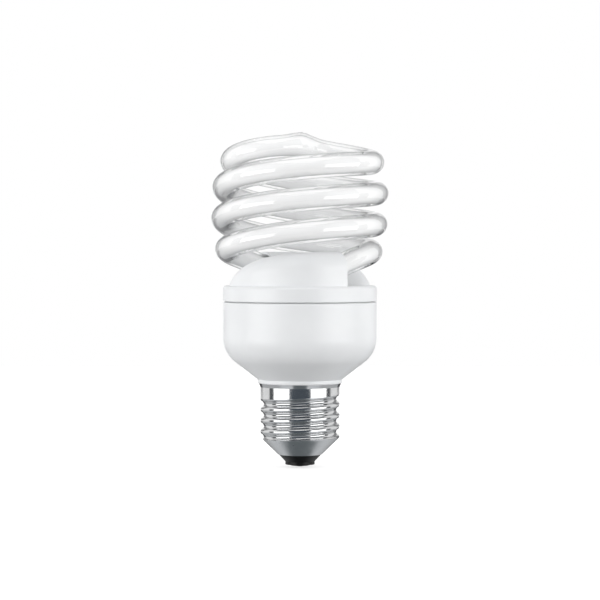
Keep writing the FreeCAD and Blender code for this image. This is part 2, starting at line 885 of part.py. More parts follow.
def make_choke_core():
    z = CHOKE_MIDDLE - S.core_thickness / 2
    frame = block("core_frame", S.core_length, S.core_width, S.core_thickness, S.choke_x, ZERO, z)
    away = S.core_leg + CORE_GAP / 2
    windows = []
    for side in (-1, 1):
        size = (CORE_WINDOW, CORE_GAP, S.core_thickness)
        windows.append(block(f"core_window_{side}", *size, S.choke_x, away * side, z))
    return cut("choke_core", frame, fused("core_windows", windows))


def make_choke_bobbin():
    tube_w = BOBBIN_HOLE_W + S.bobbin_wall * 2
    tube_h = BOBBIN_HOLE_H + S.bobbin_wall * 2
    middle = CHOKE_MIDDLE
    tube = block("bobbin_tube", BOBBIN_LENGTH, tube_w, tube_h, S.choke_x, ZERO, middle - tube_h / 2)
    pieces = [tube]
    away = BOBBIN_LENGTH / 2 - S.bobbin_flange / 2
    for side in (-1, 1):
        x = S.choke_x + away * side
        z = middle - S.bobbin_height / 2
        size = (S.bobbin_flange, BOBBIN_WIDTH, S.bobbin_height)
        pieces.append(block(f"bobbin_flange_{side}", *size, x, ZERO, z))
        for row in (-1, 1):
            y = BOBBIN_WIDTH / 2 * row * PIN_SHARE
            pieces.append(lead(f"bobbin_pin_{side}_{row}", x, y, BOBBIN_TOP - S.bobbin_flange))
    solid = fused("bobbin_solid", pieces)
    hole_z = middle - BOBBIN_HOLE_H / 2
    hole = block("bobbin_hole", S.core_length, BOBBIN_HOLE_W, BOBBIN_HOLE_H, S.choke_x, ZERO, hole_z)
    return cut("choke_bobbin", solid, hole)


def make_choke_winding():
    inner_w = BOBBIN_HOLE_W + S.bobbin_wall * 2 + S.fit_gap * 2
    inner_h = BOBBIN_HOLE_H + S.bobbin_wall * 2 + S.fit_gap * 2
    length = BOBBIN_LENGTH - S.bobbin_flange * 2 - S.fit_gap * 2
    width = BOBBIN_WIDTH - S.bobbin_wall * 2
    height = S.bobbin_height - S.bobbin_wall * 2
    body = new_body("choke_winding")
    sketch = sketch_on(body, "YZ_Plane", "winding_section")
    for half_w, half_h in ((width / 2, height / 2), (inner_w / 2, inner_h / 2)):
        outline(sketch, [
            (-half_w, CHOKE_MIDDLE - half_h),
            (half_w, CHOKE_MIDDLE - half_h),
            (half_w, CHOKE_MIDDLE + half_h),
            (-half_w, CHOKE_MIDDLE + half_h),
        ])
    coil = body.newObject("PartDesign::Pad", "winding_length")
    coil.Profile = sketch
    coil.Midplane = True
    bind(coil, Length=length)
    doc.recompute()
    corners = []
    for number, edge in enumerate(coil.Shape.Edges, 1):
        box = edge.BoundBox
        if box.XLength > length / 2 and max(abs(box.YMin), abs(box.YMax)) > width / 2 - 0.01:
            corners.append(f"Edge{number}")
    fillet = body.newObject("PartDesign::Fillet", "winding_corners")
    fillet.Base = (coil, corners)
    bind(fillet, Radius=S.bobbin_flange)
    place(body, S.choke_x, ZERO, ZERO)
    doc.recompute()
    return body


TOROID_TOP = BOARD - S.toroid_wire - S.standoff
WINDING_ANGLES = (0, 120, 240)
LOOP_ANGLES = (-24, 0, 24)
LOOP_BEND = 0.6


def make_drive_toroid():
    z = TOROID_TOP - S.toroid_height
    ring = cylinder("toroid_ring", S.toroid_diameter, S.toroid_height, S.toroid_x, S.toroid_y, z)
    hole = cylinder("toroid_hole_rod", S.toroid_hole, S.toroid_height, S.toroid_x, S.toroid_y, z)
    return cut("drive_toroid", ring, hole)


def make_toroid_winding():
    """Three short windings, each of loops that go once through the ring."""
    reach = S.toroid_wire / 2 + S.fit_gap
    inner = S.toroid_hole / 2 - reach
    outer = S.toroid_diameter / 2 + reach
    top = TOROID_TOP + reach
    bottom = TOROID_TOP - S.toroid_height - reach
    middle = (inner + outer) / 2
    corners = [(middle, top), (outer, top), (outer, bottom), (inner, bottom), (inner, top), (middle, top)]
    loops = []
    for winding in WINDING_ANGLES:
        for loop in LOOP_ANGLES:
            way = Rotation(Vector(0, 0, 1), winding + loop)
            centre = Vector(S.toroid_x, S.toroid_y, 0)
            points = [centre + way.multVec(Vector(x, 0, z)) for x, z in corners]
            loops.append(bent_wire(points, S.toroid_wire, S.toroid_wire * LOOP_BEND))
    return feature("toroid_winding", Part.makeCompound(loops))


def make_transistor(name, side):
    """A round plastic body with one flat face and three legs in a row."""
    x = S.transistor_x
    y = S.transistor_y * side
    bottom = BOARD - S.transistor_legs - S.transistor_height
    body = cylinder(f"{name}_round", S.transistor_diameter, S.transistor_height, x, y, bottom)
    away = S.transistor_flat + S.transistor_diameter / 2
    size = (S.transistor_diameter, S.transistor_diameter, S.transistor_height)
    flat = block(f"{name}_flat", *size, x + away, y, bottom)
    head = cut(f"{name}_head", body, flat)
    legs = []
    for step in (-1, 0, 1):
        start = bottom + S.transistor_height - S.lead_diameter
        legs.append(lead(f"{name}_leg_{step}", x, y + S.transistor_pitch * step, start))
    return fused(name, [head] + legs)


def make_film_capacitor(name, length, width, height, y):
    """A moulded box with rounded edges on two leads."""
    body = new_body(f"{name}_box")
    sketch = sketch_on(body, "XY_Plane", f"{name}_outline")
    outline(sketch, [
        (S.film_x - length / 2, y - width / 2),
        (S.film_x + length / 2, y - width / 2),
        (S.film_x + length / 2, y + width / 2),
        (S.film_x - length / 2, y + width / 2),
    ])
    pad = body.newObject("PartDesign::Pad", f"{name}_pad")
    pad.Profile = sketch
    bind(pad, Length=height)
    doc.recompute()
    fillet = body.newObject("PartDesign::Fillet", f"{name}_edges")
    fillet.Base = (pad, [f"Edge{number}" for number in range(1, len(pad.Shape.Edges) + 1)])
    bind(fillet, Radius=S.film_round)
    bottom = BOARD - S.standoff - height
    place(body, ZERO, ZERO, bottom)
    doc.recompute()
    away = length / 2 - S.film_lead_inset
    leads = []
    for side in (-1, 1):
        x = S.film_x + away * side
        leads.append(lead(f"{name}_lead_{side}", x, y, bottom + height - S.film_round * 2))
    return fused(name, [body] + leads)


def axial_part(name, x, y, diameter, length, span):
    """A small cylinder that lies under the board, with a lead bent up at each end."""
    z = BOARD - S.standoff - diameter / 2
    holes.append((x - span / 2, y, S.lead_diameter / 2 + S.lead_hole_gap))
    holes.append((x + span / 2, y, S.lead_diameter / 2 + S.lead_hole_gap))
    top = BOARD_TOP + S.lead_stub
    route = [(-span / 2, top), (-span / 2, z), (span / 2, z), (span / 2, top)]
    points = [Vector(x + along, y, height) for along, height in route]
    wire = feature(f"{name}_wire", bent_wire(points, S.lead_diameter, S.axial_bend))
    lying = Rotation(Vector(0, 1, 0), 90)
    barrel = cylinder(f"{name}_barrel", diameter, length, x - length / 2, y, z, lying)
    return fused(name, [barrel, wire])


def make_rectifier_diodes():
    diodes = []
    for side in (-1, 1):
        for row in (0, 1):
            y = (S.diode_inner_y + S.diode_pitch * row) * side
            name = f"diode_{len(diodes) + 1}"
            size = (S.diode_diameter, S.diode_length, S.axial_lead_span)
            diodes.append(axial_part(name, S.diode_x, y, *size))
    return grouped("rectifier_diodes", diodes)


def make_start_resistors():
    resistors = []
    for row in (0, 1):
        y = S.resistor_y - S.resistor_pitch * row
        name = f"resistor_{row + 1}"
        size = (S.resistor_diameter, S.resistor_length, S.axial_lead_span)
        resistors.append(axial_part(name, S.resistor_x, y, *size))
    return grouped("start_resistors", resistors)


def make_filter_inductor():
    """A drum: two flanges and a wound waist on two leads."""
    bottom = BOARD - S.standoff - S.drum_height
    waist_d = S.drum_diameter - S.drum_waist * 2
    pieces = [cylinder("drum_waist_rod", waist_d, S.drum_height, S.drum_x, S.drum_y, bottom)]
    for name, z in (("low", bottom), ("high", bottom + S.drum_height - S.drum_flange)):
        pieces.append(cylinder(f"drum_{name}", S.drum_diameter, S.drum_flange, S.drum_x, S.drum_y, z))
    for side in (-1, 1):
        x = S.drum_x + S.drum_lead_pitch / 2 * side
        pieces.append(lead(f"drum_lead_{side}", x, S.drum_y, bottom + S.drum_height - S.drum_flange))
    return fused("filter_inductor", pieces)


def make_fusible_resistor():
    body = cylinder("fuse_body", S.fuse_diameter, S.fuse_length, S.fuse_x, S.fuse_y, FUSE_BOTTOM)
    top = FUSE_BOTTOM + S.fuse_length
    upper_lead = lead("fuse_lead", S.fuse_x, S.fuse_y, top - S.lead_diameter)
    return fused("fusible_resistor", [body, upper_lead])


# A lead runs past its last bend and falls across by these multiples of the bend's radius.
LEAD_FOOT = 1.5
LEAD_SLOPE = 1.2


def make_centre_lead():
    """The wire from the fuse resistor round the can and through the insulator to the solder."""
    low = CAN_BOTTOM - S.wire_bend * LEAD_FOOT
    points = [
        Vector(S.fuse_x, S.fuse_y, FUSE_BOTTOM),
        Vector(S.fuse_x, S.fuse_y, low + S.wire_bend),
        Vector(0, 0, low),
        Vector(0, 0, S.insulator_height - S.contact_thickness),
    ]
    return feature("centre_lead", bent_wire(points, S.wire_diameter, S.wire_bend))


def make_shell_lead():
    """The wire from the board down to the wall of the screw shell, which it touches."""
    holes.append((S.shell_lead_x, S.shell_lead_y, S.wire_diameter / 2 + S.lead_hole_gap))
    away = math.hypot(S.shell_lead_x, S.shell_lead_y)
    side = Vector(S.shell_lead_x, S.shell_lead_y, 0).normalize()
    wall = BORE_R - S.wire_diameter / 2 - S.fit_gap
    bend = S.cap_length - S.spigot_length - S.wire_bend
    points = [
        side * away + Vector(0, 0, BOARD_TOP + S.lead_stub),
        side * away + Vector(0, 0, bend),
        side * wall + Vector(0, 0, bend - S.wire_bend * LEAD_SLOPE),
        side * wall + Vector(0, 0, S.cap_length - S.shell_lead_end - S.wire_bend * LEAD_FOOT),
    ]
    return feature("shell_lead", bent_wire(points, S.wire_diameter, S.wire_bend))


PINS = [(S.pin_x * side, (S.pin_y - S.pin_pitch * row) * side) for side in (1, -1) for row in (0, 1)]


def make_wrap_pins():
    pins = []
    for number, (x, y) in enumerate(PINS, 1):
        holes.append((x, y, S.pin_side / math.sqrt(2) + S.lead_hole_gap))
        height = S.board_thickness + S.pin_height
        pins.append(block(f"wrap_pin_{number}", S.pin_side, S.pin_side, height, x, y, BOARD))
    return grouped("wrap_pins", pins)


def make_tube_leads():
    """Two wires from each tube end, bent down onto the board's pins."""
    wires = []
    for side in (1, -1):
        end = strand(-END_MARK * side)
        way = end_way(-END_MARK * side)
        across = way.cross(Vector(0, 0, 1)).normalize()
        for row, (x, y) in enumerate(PINS[:2] if side > 0 else PINS[2:]):
            start = end + way * S.fit_gap - across * (S.stem_pitch / 2 * (1 - 2 * row))
            pin_top = Vector(x, y, BOARD_TOP + S.pin_height)
            points = [
                start,
                start + way * (S.exhaust_length + S.stem_wire * 2),
                pin_top + Vector(0, 0, S.stem_wire * 3),
                pin_top,
            ]
            wires.append(bent_wire(points, S.stem_wire, S.stem_wire))
    return feature("tube_leads", Part.makeCompound(wires))


def make_ballast_board():
    """A round board with one hole for each lead and pin."""
    body = new_body("ballast_board")
    disc = sketch_on(body, "XY_Plane", "board_outline")
    circle(disc, ZERO, ZERO, S.board_diameter / 2)
    pad = body.newObject("PartDesign::Pad", "board_pad")
    pad.Profile = disc
    bind(pad, Length=S.board_thickness)
    doc.recompute()
    drill = sketch_on(body, "XY_Plane", "board_holes")
    for x, y, radius in holes:
        circle(drill, x, y, radius)
    pocket = body.newObject("PartDesign::Pocket", "board_drilling")
    pocket.Profile = drill
    pocket.Midplane = True
    pocket.Type = 1
    place(body, ZERO, ZERO, BOARD)
    doc.recompute()
    return body


RESONANCE_SIZE = (S.resonance_length, S.resonance_width, S.resonance_height)
BLOCKING_SIZE = (S.blocking_length, S.blocking_width, S.blocking_height)
TRIGGER_SIZE = (S.trigger_diameter, S.trigger_length, S.trigger_lead_span)

lamp = [
    make_glass_tube(),
    make_tube_holder(),
    make_tube_cement(),
    make_lower_housing(),
    make_screw_shell(),
    make_cap_insulator(),
    make_centre_contact(),
    make_contact_solder(),
    make_smoothing_capacitor(),
    make_choke_core(),
    make_choke_bobbin(),
    make_choke_winding(),
    make_drive_toroid(),
    make_toroid_winding(),
    make_transistor("transistor_high", 1),
    make_transistor("transistor_low", -1),
    make_film_capacitor("resonance_capacitor", *RESONANCE_SIZE, -S.film_y),
    make_film_capacitor("blocking_capacitor", *BLOCKING_SIZE, S.film_y),
    make_rectifier_diodes(),
    make_start_resistors(),
    axial_part("trigger_diode", S.trigger_x, S.trigger_y, *TRIGGER_SIZE),
    make_filter_inductor(),
    make_fusible_resistor(),
    make_centre_lead(),
    make_shell_lead(),
    make_wrap_pins(),
    make_tube_leads(),
]
lamp.append(make_ballast_board())
doc.recompute()

for thing in doc.Objects:
    if "Invalid" in thing.State or "Error" in thing.State:
        raise RuntimeError(f"{thing.Label} failed: {thing.State}")
for piece in lamp:
    if piece.Shape.isNull() or not piece.Shape.isValid() or piece.Shape.Volume <= 0:
        raise RuntimeError(f"{piece.Label} has no valid solid")

os.makedirs("parts", exist_ok=True)
for piece in lamp:
    piece.Shape.exportStep(f"parts/{piece.Label}.step")
    print(f"{piece.Label}: {len(piece.Shape.Solids)} solid, {piece.Shape.Volume:.1f} mm3")
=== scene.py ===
# %% [markdown]
# # A spiral lamp with a screw cap
# The lamp is a glass tube, coated white on its inside and wound into a double helix, on a white
# plastic housing with a metal screw cap. The solids of every part come in ready made. This lesson
# gives each part its finish, winds the glass anew as a white core in a clear wall, and sets up the
# light.

# %% Open the lamp
import json
import math

import bmesh
import bpy
from mathutils import Matrix, Vector

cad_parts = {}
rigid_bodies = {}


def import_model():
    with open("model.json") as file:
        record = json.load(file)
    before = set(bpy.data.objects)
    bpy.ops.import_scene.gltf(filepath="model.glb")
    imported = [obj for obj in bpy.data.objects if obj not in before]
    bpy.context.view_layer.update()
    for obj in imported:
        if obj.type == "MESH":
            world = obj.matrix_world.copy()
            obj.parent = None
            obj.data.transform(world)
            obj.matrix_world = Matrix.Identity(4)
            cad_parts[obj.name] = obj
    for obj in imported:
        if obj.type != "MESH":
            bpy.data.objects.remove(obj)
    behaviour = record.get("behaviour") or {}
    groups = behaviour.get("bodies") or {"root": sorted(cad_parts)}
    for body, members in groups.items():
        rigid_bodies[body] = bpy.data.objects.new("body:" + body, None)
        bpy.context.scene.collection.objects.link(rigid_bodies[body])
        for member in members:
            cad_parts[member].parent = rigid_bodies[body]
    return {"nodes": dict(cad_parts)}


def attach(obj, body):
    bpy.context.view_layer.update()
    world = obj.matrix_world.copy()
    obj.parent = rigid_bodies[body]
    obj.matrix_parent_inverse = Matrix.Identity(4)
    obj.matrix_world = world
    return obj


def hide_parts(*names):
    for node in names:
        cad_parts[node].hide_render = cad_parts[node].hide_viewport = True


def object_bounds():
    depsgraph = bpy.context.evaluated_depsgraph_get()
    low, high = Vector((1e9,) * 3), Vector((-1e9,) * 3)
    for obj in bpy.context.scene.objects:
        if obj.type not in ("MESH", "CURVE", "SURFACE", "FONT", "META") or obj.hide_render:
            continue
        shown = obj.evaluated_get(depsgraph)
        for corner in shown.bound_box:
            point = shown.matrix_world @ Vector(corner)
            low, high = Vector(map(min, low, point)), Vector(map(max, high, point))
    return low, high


for leftover in list(bpy.data.objects):
    bpy.data.objects.remove(leftover)
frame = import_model()
solid_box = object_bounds()
print("parts:", len(frame["nodes"]))
print("box:", [tuple(round(v, 4) for v in corner) for corner in solid_box])

# %% [markdown]
# ## A helper for finishes
# A real surface is never one even colour: plastic has faint flow marks, metal has a little
# oxide, and ferrite is grainy. One could paint each of these by hand. Here a node group makes a
# soft mottle once, from Object coordinates, and every finish uses it with its own grain and
# strength.

# %% The mottle group
def make_mottle():
    group = bpy.data.node_groups.new("soft mottle", "ShaderNodeTree")
    for name, kind, start in (
        ("Grain", "NodeSocketFloat", 400.0),
        ("Dark", "NodeSocketColor", (0.5, 0.5, 0.5, 1.0)),
        ("Light", "NodeSocketColor", (0.6, 0.6, 0.6, 1.0)),
        ("Low", "NodeSocketFloat", 0.3),
        ("High", "NodeSocketFloat", 0.4),
    ):
        socket = group.interface.new_socket(name=name, in_out="INPUT", socket_type=kind)
        socket.default_value = start
    for name, kind in (
        ("Color", "NodeSocketColor"),
        ("Value", "NodeSocketFloat"),
        ("Mask", "NodeSocketFloat"),
    ):
        group.interface.new_socket(name=name, in_out="OUTPUT", socket_type=kind)
    nodes, links = group.nodes, group.links
    inside = nodes.new("NodeGroupInput")
    outside = nodes.new("NodeGroupOutput")
    place = nodes.new("ShaderNodeTexCoord")
    noise = nodes.new("ShaderNodeTexNoise")
    noise.inputs["Detail"].default_value = 4.0
    spread = nodes.new("ShaderNodeMapRange")
    spread.inputs["From Min"].default_value = 0.3
    spread.inputs["From Max"].default_value = 0.7
    tint = nodes.new("ShaderNodeMix")
    tint.data_type = "RGBA"
    level = nodes.new("ShaderNodeMix")
    links.new(place.outputs["Object"], noise.inputs["Vector"])
    links.new(inside.outputs["Grain"], noise.inputs["Scale"])
    links.new(noise.outputs["Fac"], spread.inputs["Value"])
    links.new(spread.outputs["Result"], tint.inputs["Factor"])
    links.new(inside.outputs["Dark"], tint.inputs["A"])
    links.new(inside.outputs["Light"], tint.inputs["B"])
    links.new(spread.outputs["Result"], level.inputs["Factor"])
    links.new(inside.outputs["Low"], level.inputs["A"])
    links.new(inside.outputs["High"], level.inputs["B"])
    links.new(tint.outputs["Result"], outside.inputs["Color"])
    links.new(level.outputs["Result"], outside.inputs["Value"])
    links.new(spread.outputs["Result"], outside.inputs["Mask"])
    return group


MOTTLE = make_mottle()
print("group:", MOTTLE.name, [item.name for item in MOTTLE.interface.items_tree])

# %% [markdown]
# ## Finishes from the mottle
# The function below places the group in a material of its own, joins it to the base colour and
# the roughness of the main shader, and sets what is the same all over straight on the shader.
# Setting up every material node by node would work too, but it hides what differs between them.

# %% A finish
def mottled(name, dark, light, grain, low, high, bump=0.0, **settings):
    finish = bpy.data.materials.new(name)
    finish.use_nodes = True
    nodes, links = finish.node_tree.nodes, finish.node_tree.links
    shader = nodes["Principled BSDF"]
    mottle = nodes.new("ShaderNodeGroup")
    mottle.node_tree = MOTTLE
    mottle.inputs["Grain"].default_value = grain
    mottle.inputs["Dark"].default_value = (*dark, 1.0)
    mottle.inputs["Light"].default_value = (*light, 1.0)
    mottle.inputs["Low"].default_value = low
    mottle.inputs["High"].default_value = high
    links.new(mottle.outputs["Color"], shader.inputs["Base Color"])
    links.new(mottle.outputs["Value"], shader.inputs["Roughness"])
    for socket, value in settings.items():
        shader.inputs[socket.replace("_", " ")].default_value = value
    if bump:
        dent = nodes.new("ShaderNodeBump")
        dent.inputs["Strength"].default_value = 1.0
        dent.inputs["Distance"].default_value = bump
        links.new(mottle.outputs["Mask"], dent.inputs["Height"])
        links.new(dent.outputs["Normal"], shader.inputs["Normal"])
    return finish


print("finishes are made by:", mottled.__name__)

# %% [markdown]
# ## White plastic
# The holder and the housing are moulded in white plastic, half glossy and very slightly cool. A
# flat white with an even gloss would look like paper. The mould leaves a faint unevenness, so the
# mottle shifts the colour and the roughness a little.

# %% White plastic
white_plastic = mottled(
    "white plastic", dark=(0.78, 0.792, 0.804), light=(0.81, 0.822, 0.832),
    grain=90.0, low=0.34, high=0.42, IOR=1.6)
print(white_plastic.name)

# %% [markdown]
# ## Satin metal below the thread
# The cap's shell is rolled from plated sheet. Its thread is bright, and the cone under the thread
# is more satin, since the insulator is poured in there and the metal is heated. Two materials would
# cut the shell in two with a hard line. A second group that reads the height instead makes the
# metal rougher below the thread, with a soft change.

# %% Satin below a height
def make_satin():
    group = bpy.data.node_groups.new("satin below a height", "ShaderNodeTree")
    for name in ("Roughness", "Height", "Softness", "Gain"):
        group.interface.new_socket(name=name, in_out="INPUT", socket_type="NodeSocketFloat")
    group.interface.new_socket(
        name="Roughness", in_out="OUTPUT", socket_type="NodeSocketFloat")
    nodes, links = group.nodes, group.links
    inside = nodes.new("NodeGroupInput")
    outside = nodes.new("NodeGroupOutput")
    place = nodes.new("ShaderNodeTexCoord")
    axes = nodes.new("ShaderNodeSeparateXYZ")
    top = nodes.new("ShaderNodeMath")
    top.operation = "ADD"
    gain = nodes.new("ShaderNodeMapRange")
    gain.inputs["To Max"].default_value = 1.0
    rough = nodes.new("ShaderNodeMath")
    rough.operation = "MULTIPLY"
    links.new(place.outputs["Object"], axes.inputs["Vector"])
    links.new(axes.outputs["Z"], gain.inputs["Value"])
    links.new(inside.outputs["Height"], gain.inputs["From Min"])
    links.new(inside.outputs["Height"], top.inputs[0])
    links.new(inside.outputs["Softness"], top.inputs[1])
    links.new(top.outputs["Value"], gain.inputs["From Max"])
    links.new(inside.outputs["Gain"], gain.inputs["To Min"])
    links.new(inside.outputs["Roughness"], rough.inputs[0])
    links.new(gain.outputs["Result"], rough.inputs[1])
    links.new(rough.outputs["Value"], outside.inputs["Roughness"])
    return group


def add_satin(finish, height, softness, gain):
    nodes, links = finish.node_tree.nodes, finish.node_tree.links
    satin = nodes.new("ShaderNodeGroup")
    satin.node_tree = make_satin()
    satin.inputs["Height"].default_value = height
    satin.inputs["Softness"].default_value = softness
    satin.inputs["Gain"].default_value = gain
    links.new(nodes["Group"].outputs["Value"], satin.inputs["Roughness"])
    links.new(satin.outputs["Roughness"], nodes["Principled BSDF"].inputs["Roughness"])


print("satin is added by:", add_satin.__name__)

# %% [markdown]
# ## Metals of the cap
# The cap has three metals: bright plating on the shell, a contact below it, and the solder that
# closes the contact. One grey metal for all would join them to one lump, so each has a tone of its
# own, and the duller ones are rougher. The contact's tone is painted very dark, a painted shade
# for the shadow under the cap.

# %% Plated metal
CONE_TOP = 0.0094
CONE_SOFTNESS = 0.0008
CONE_GAIN = 2.0
plated_metal = mottled(
    "plated metal", dark=(0.62, 0.625, 0.63), light=(0.68, 0.685, 0.69),
    grain=260.0, low=0.13, high=0.18, Metallic=1.0)
add_satin(plated_metal, CONE_TOP, CONE_SOFTNESS, CONE_GAIN)
# The contact's metal is painted nearly black: a painted shade for the shadow under the cap.
contact_metal_painted_shade = mottled(
    "contact metal, painted shade", dark=(0.10, 0.10, 0.095), light=(0.17, 0.165, 0.155),
    grain=500.0, low=0.3, high=0.42, Metallic=1.0)
solder_metal = mottled(
    "solder", dark=(0.20, 0.20, 0.205), light=(0.30, 0.30, 0.305),
    grain=700.0, low=0.28, high=0.4, Metallic=1.0)
print(plated_metal.name, contact_metal_painted_shade.name, solder_metal.name)

# %% [markdown]
# ## Black glass
# The insulator is poured black glass. A polished black would mirror the whole studio, but its skin
# sets a little dull against the mould. A nearly black colour with a middling roughness and little
# shine gives it soft reflections only.

# %% Black glass
def grey(level):
    return (level, level, level)


black_glass = mottled(
    "black glass", dark=grey(0.004), light=grey(0.008),
    grain=300.0, low=0.32, high=0.42, Specular_IOR_Level=0.25)
print(black_glass.name)

# %% [markdown]
# ## Finishes of the ballast
# Inside the housing sit a circuit board and its parts: brown laminate, dark sleeves, grey
# ferrite, copper wire, red film capacitors, pale resistors and white silicone. The closed lamp
# hides them, so each has one plain finish from the mottle, and only the grainy ferrite has a bump.

# %% Ballast finishes
silicone = mottled(
    "silicone", dark=grey(0.62), light=grey(0.72), grain=350.0, low=0.5, high=0.6)
board_laminate = mottled(
    "board laminate", dark=(0.35, 0.22, 0.10), light=(0.44, 0.29, 0.14),
    grain=600.0, low=0.5, high=0.6)
dark_sleeve = mottled(
    "dark sleeve", dark=grey(0.02), light=grey(0.04), grain=400.0, low=0.35, high=0.5)
ferrite = mottled(
    "ferrite", dark=grey(0.05), light=grey(0.09),
    grain=1500.0, low=0.55, high=0.75, bump=0.00002)
copper_wire = mottled(
    "copper wire", dark=(0.55, 0.22, 0.09), light=(0.72, 0.33, 0.15),
    grain=900.0, low=0.25, high=0.4, Metallic=1.0)
film_resin = mottled(
    "film resin", dark=(0.42, 0.07, 0.04), light=(0.52, 0.10, 0.06),
    grain=250.0, low=0.25, high=0.4)
resistor_enamel = mottled(
    "resistor enamel", dark=(0.52, 0.44, 0.30), light=(0.62, 0.53, 0.38),
    grain=700.0, low=0.35, high=0.5)
wire_sleeve = mottled(
    "wire sleeve", dark=grey(0.55), light=grey(0.66), grain=500.0, low=0.4, high=0.5)
print("materials:", [finish.name for finish in bpy.data.materials])

# %% [markdown]
# ## Finishes on the parts
# Each solid comes with a slot, the name of what it is made of. Finishes could be set part by part,
# but a table from slot to finish does it in one loop. The glass is left for later, because new
# pieces take its place, and the contact below the cap gets a very dark metal, painted shade for
# the shadow under the cap.

# %% Finish of every slot
FINISH_OF_SLOT = {
    "white_plastic": white_plastic,
    "plated_metal": plated_metal,
    "black_glass": black_glass,
    "solder": solder_metal,
    "silicone": silicone,
    "board_laminate": board_laminate,
    "dark_sleeve": dark_sleeve,
    "ferrite": ferrite,
    "copper_wire": copper_wire,
    "film_resin": film_resin,
    "resistor_enamel": resistor_enamel,
    "wire_sleeve": wire_sleeve,
}
finished = 0
for node in frame["nodes"].values():
    slot = node.data.materials[0].name.split(".")[0]
    if slot in FINISH_OF_SLOT:
        node.data.materials[0] = FINISH_OF_SLOT[slot]
        finished += 1
# The contact gets the darkened metal, a painted shade for the shadow under the cap.
frame["nodes"]["centre_contact"].data.materials[0] = contact_metal_painted_shade
print("finishes set on", finished, "of", len(frame["nodes"]), "parts")

# %% [markdown]
# ## Sizes of the tube's path
# The tube is wound from two strands that meet at the crown. Where a point lies along a strand could
# be told in metres, but here marks count it: 0 is the crown, 1 the end of the curl, and four more
# make a turn. So a mark follows straight from the angle around the axis. Sizes are in metres and
# angles in degrees.

# %% Sizes of the path
COIL_RADIUS = 0.0252
COIL_LEAD = 0.0204
COIL_MIDDLE = 0.0860
CROWN_HEIGHT = 0.1052
LEG_RADIUS = 0.0186
LEG_FALL = 0.0021
CURL_ANGLE = 147.0
LEG_BEND_ANGLE, LEG_BEND_SPAN = 30.0, 75.0
LEG_FALL_ANGLE = 18.0
MOUTH_ANGLE, LEG_INSIDE_SPAN = -50.0, 41.0
LEAN_RIGHT, LEAN_BACK = math.radians(2.0), math.radians(3.5)


def strand_mark(angle):
    return 1.0 + (CURL_ANGLE + 360.0 - angle) / 90.0


MOUTH_MARK = strand_mark(MOUTH_ANGLE)
END_MARK = strand_mark(MOUTH_ANGLE - LEG_INSIDE_SPAN)
BEND_MARK = strand_mark(LEG_BEND_ANGLE)
print("tube ends at mark", round(END_MARK, 2))

# %% [markdown]
# ## The tube's path
# Each strand comes up out of its collar, climbs in a right-hand helix and curls over to the
# middle of the crown, where it meets the other strand. The whole coil leans a little, as glass that
# was bent while soft can. A curve object could follow a path too, but a function gives the exact
# line that the solid was bent to.

# %% The path of the glass
def smooth(part):
    part = max(0.0, min(1.0, part))
    return part * part * (3 - 2 * part)


def coil_height(angle):
    return COIL_MIDDLE + COIL_LEAD * (angle - 270.0) / 360.0


def curl_point(mark):
    lobe = COIL_RADIUS / 2
    start = math.radians(CURL_ANGLE)
    way = start + math.pi * (1.0 - mark)
    low = coil_height(CURL_ANGLE + 360.0)
    part = 1.0 - mark
    height = low + (CROWN_HEIGHT - low) * smooth(part)
    height += COIL_LEAD / 4 * part * (1 - part) ** 2
    return Vector((
        lobe * (math.cos(start) + math.cos(way)),
        lobe * (math.sin(start) + math.sin(way)),
        height))


def coil_point(mark):
    angle = CURL_ANGLE + 360.0 - (mark - 1.0) * 90.0
    bend = smooth((LEG_BEND_ANGLE - angle) / LEG_BEND_SPAN)
    radius = COIL_RADIUS + (LEG_RADIUS - COIL_RADIUS) * bend
    height = coil_height(angle)
    fall = (LEG_FALL_ANGLE - angle) / (LEG_FALL_ANGLE - MOUTH_ANGLE)
    if fall > 1:
        height -= LEG_FALL * (2 * fall - 1)
    elif fall > 0:
        height -= LEG_FALL * fall * fall
    turn = math.radians(angle)
    return Vector((radius * math.cos(turn), radius * math.sin(turn), height))


def strand(mark):
    point = curl_point(abs(mark)) if abs(mark) < 1.0 else coil_point(abs(mark))
    if mark < 0:
        point = Vector((-point.x, -point.y, point.z))
    hold = smooth((MOUTH_MARK - abs(mark)) / (MOUTH_MARK - BEND_MARK + 1.0))
    right = math.tan(LEAN_RIGHT) * hold
    back = math.tan(LEAN_BACK) * hold
    above = point.z - COIL_MIDDLE
    return Vector((
        point.x + right * above,
        point.y + back * above,
        point.z - right * point.x - back * point.y))


print("crown at", tuple(round(v, 4) for v in strand(0.0)))

# %% [markdown]
# ## Bending the tube
# A glass worker heats a straight tube and winds it on a mandrel. Here a ring is drawn at one
# end and extruded step by step: each new ring is turned by as much as the path turns there and
# moved along. That keeps the tube round and free of twist, which a plain extrusion would not. An
# extrusion lists its new faces in no fixed order, so they are sorted, and every run gives the same
# mesh. Last, the small tip of the crown is drawn up.

# %% A bent tube
TUBE_RADIUS = 0.0039
CROWN_TIP_RISE = 0.0012
CROWN_TIP_REACH = 2.4 * TUBE_RADIUS
RING_SEGMENTS = 36
STEPS_PER_MARK = 16
TUBE_STEPS = round(2 * END_MARK * STEPS_PER_MARK)
TUBE_MARKS = [-END_MARK + 2 * END_MARK * i / TUBE_STEPS for i in range(TUBE_STEPS + 1)]


def path_way(mark):
    step = 0.002
    return (strand(mark + step) - strand(mark - step)).normalized()


def sort_faces(mesh):
    mesh.verts.index_update()
    count = len(mesh.verts)

    def face_number(face):
        corners = [vert.index for vert in face.verts]
        return min(corners) * count + max(corners)

    mesh.faces.sort(key=face_number)


